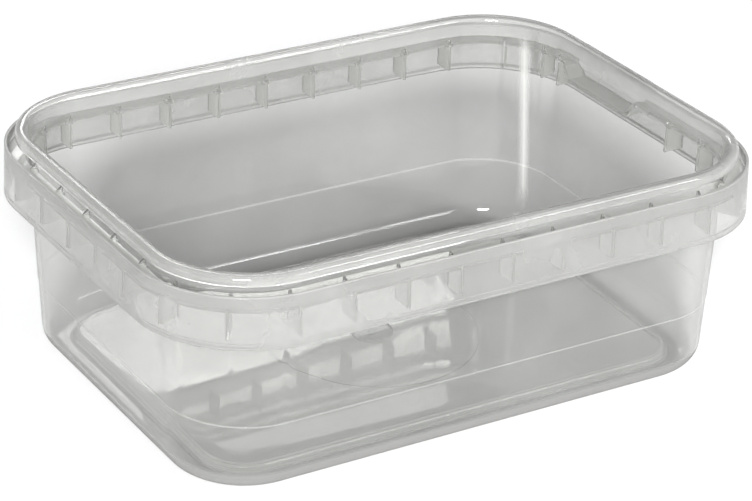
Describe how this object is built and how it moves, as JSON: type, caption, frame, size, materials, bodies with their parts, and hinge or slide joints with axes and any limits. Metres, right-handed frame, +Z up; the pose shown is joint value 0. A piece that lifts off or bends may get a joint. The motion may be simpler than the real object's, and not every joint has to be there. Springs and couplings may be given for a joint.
{
  "type": "food tub",
  "caption": "Clear rectangular moulded plastic food tub, open at the top, with rounded corners, a rolled rim and a tamper-evident skirt.",
  "frame": {"origin": "middle of the underside, on the surface the tub stands on", "axes": "+X along the tub's length towards the end with the opening tab, +Y across its width, +Z up out of its mouth"},
  "size_m": [0.1908, 0.1402, 0.068],
  "materials": {
    "clear_plastic": "glossy, see-through"
  },
  "bodies": {
    "root": {"tub": "clear_plastic"}
  },
  "joints": []
}
